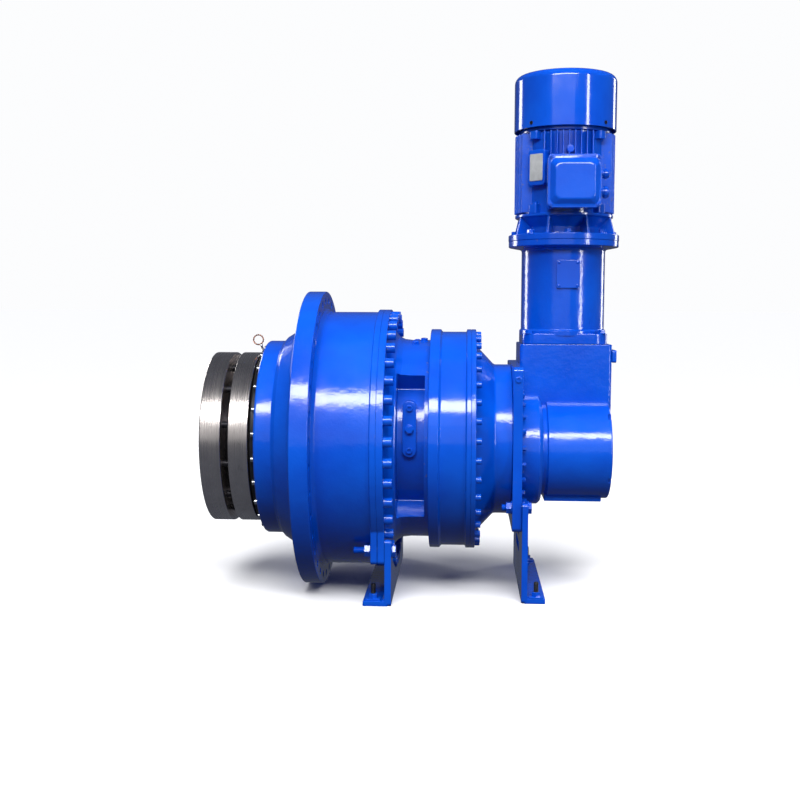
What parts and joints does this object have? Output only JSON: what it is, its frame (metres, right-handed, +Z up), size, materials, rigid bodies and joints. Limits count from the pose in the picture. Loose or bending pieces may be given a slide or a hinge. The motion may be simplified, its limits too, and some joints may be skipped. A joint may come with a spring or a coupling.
{
  "type": "industrial gearbox",
  "caption": "Planetary gearbox with a large mounting flange, hollow output shaft with shrink disc, bevel-helical input unit, upright flanged motor and slotted support brackets.",
  "frame": {"origin": "centre of the footprint of the whole unit, on the floor plane under the brackets", "axes": "+X along the gearbox axis from the output shaft towards the input unit, +Z up along the motor axis, -Y towards the terminal box side"},
  "size_m": [1.305, 0.94, 1.66],
  "materials": {
    "blue_casting": "gloss blue enamel on cast iron",
    "blue_metal": "gloss blue enamel on steel",
    "blue_aluminium": "gloss blue enamel on aluminium",
    "bright_steel": "fine turned",
    "gear_steel": "ground",
    "dark_steel": "blackened",
    "seal_rubber": "matt",
    "winding_iron": "varnished copper winding and iron",
    "plate_aluminium": "satin, blank"
  },
  "bodies": {
    "housing": {"output_housing": "blue_casting", "seal_cover": "dark_steel", "shaft_seal": "seal_rubber", "main_bearing_front": "bright_steel", "main_bearing_rear": "bright_steel", "output_ring_gear": "gear_steel", "carrier_bearing": "bright_steel", "sun_bearing": "bright_steel", "countershaft_bearing": "bright_steel", "pinion_bearing": "bright_steel", "motor_bearing": "bright_steel", "stator": "winding_iron", "intermediate_housing": "blue_casting", "output_joint_bolts": "blue_metal", "input_ring_gear": "blue_casting", "cone_adapter": "blue_casting", "input_joint_bolts": "blue_metal", "square_plate": "blue_metal", "bevel_case": "blue_casting", "case_bolts": "blue_metal", "side_block": "blue_metal", "side_cap": "blue_casting", "adapter_column": "blue_casting", "column_plate": "blue_metal", "motor_end_shield": "blue_aluminium", "motor_frame": "blue_aluminium", "rear_end_shield": "blue_aluminium", "fan_cowl": "blue_metal", "terminal_box": "blue_aluminium", "terminal_cover": "blue_aluminium", "cable_gland_1": "blue_metal", "cable_gland_2": "blue_metal", "rating_plate": "plate_aluminium", "front_bracket": "blue_metal", "rear_bracket": "blue_metal", "front_bolt_near": "blue_metal", "front_bolt_far": "blue_metal", "rear_bolt_near": "blue_metal", "rear_bolt_far": "blue_metal"},
    "output": {"output_carrier": "bright_steel", "shrink_sleeve": "dark_steel", "shrink_ring_left": "bright_steel", "shrink_ring_right": "bright_steel", "shrink_screws": "dark_steel"},
    "output_planet_a": {"output_planet_1": "gear_steel"},
    "output_planet_b": {"output_planet_2": "gear_steel"},
    "output_planet_c": {"output_planet_3": "gear_steel"},
    "second_sun": {"input_carrier": "bright_steel", "output_sun": "gear_steel"},
    "input_planet_a": {"input_planet_1": "gear_steel"},
    "input_planet_b": {"input_planet_2": "gear_steel"},
    "input_planet_c": {"input_planet_3": "gear_steel"},
    "first_sun": {"input_sun_shaft": "gear_steel", "spur_wheel": "gear_steel"},
    "counter": {"countershaft": "gear_steel", "bevel_wheel": "gear_steel"},
    "motor_line": {"bevel_pinion_shaft": "gear_steel", "shaft_coupling": "dark_steel", "rotor": "gear_steel", "fan": "dark_steel"}
  },
  "joints": [
    {"name": "output_spin", "type": "hinge", "parent": "housing", "child": "output", "pos_m": [-0.6525, 0, 0.47], "axis": [1, 0, 0], "continuous": true},
    {"name": "output_planet_a_spin", "type": "hinge", "parent": "output", "child": "output_planet_a", "pos_m": [-0.2905, 0, 0.659], "axis": [1, 0, 0], "continuous": true},
    {"name": "output_planet_b_spin", "type": "hinge", "parent": "output", "child": "output_planet_b", "pos_m": [-0.2905, -0.16368, 0.3755], "axis": [1, 0, 0], "continuous": true},
    {"name": "output_planet_c_spin", "type": "hinge", "parent": "output", "child": "output_planet_c", "pos_m": [-0.2905, 0.16368, 0.3755], "axis": [1, 0, 0], "continuous": true},
    {"name": "second_sun_spin", "type": "hinge", "parent": "housing", "child": "second_sun", "pos_m": [-0.1055, 0, 0.47], "axis": [1, 0, 0], "continuous": true},
    {"name": "input_planet_a_spin", "type": "hinge", "parent": "second_sun", "child": "input_planet_a", "pos_m": [0.0745, 0, 0.6317], "axis": [1, 0, 0], "continuous": true},
    {"name": "input_planet_b_spin", "type": "hinge", "parent": "second_sun", "child": "input_planet_b", "pos_m": [0.0745, -0.14004, 0.38915], "axis": [1, 0, 0], "continuous": true},
    {"name": "input_planet_c_spin", "type": "hinge", "parent": "second_sun", "child": "input_planet_c", "pos_m": [0.0745, 0.14004, 0.38915], "axis": [1, 0, 0], "continuous": true},
    {"name": "first_sun_spin", "type": "hinge", "parent": "housing", "child": "first_sun", "pos_m": [0.0745, 0, 0.47], "axis": [1, 0, 0], "continuous": true},
    {"name": "countershaft_spin", "type": "hinge", "parent": "housing", "child": "counter", "pos_m": [0.3565, 0.14, 0.49], "axis": [1, 0, 0], "continuous": true},
    {"name": "motor_spin", "type": "hinge", "parent": "housing", "child": "motor_line", "pos_m": [0.4725, 0.14, 0.49], "axis": [0, 0, 1], "continuous": true}
  ],
  "couplings": [
    {"joint": "output_planet_a_spin", "follows": "output_spin", "ratio": -2.75},
    {"joint": "output_planet_b_spin", "follows": "output_spin", "ratio": -2.75},
    {"joint": "output_planet_c_spin", "follows": "output_spin", "ratio": -2.75},
    {"joint": "second_sun_spin", "follows": "output_spin", "ratio": 4.6667},
    {"joint": "input_planet_a_spin", "follows": "output_spin", "ratio": -12.833},
    {"joint": "input_planet_b_spin", "follows": "output_spin", "ratio": -12.833},
    {"joint": "input_planet_c_spin", "follows": "output_spin", "ratio": -12.833},
    {"joint": "first_sun_spin", "follows": "output_spin", "ratio": 21.778},
    {"joint": "countershaft_spin", "follows": "output_spin", "ratio": -50.815},
    {"joint": "motor_spin", "follows": "output_spin", "ratio": -127.04}
  ]
}
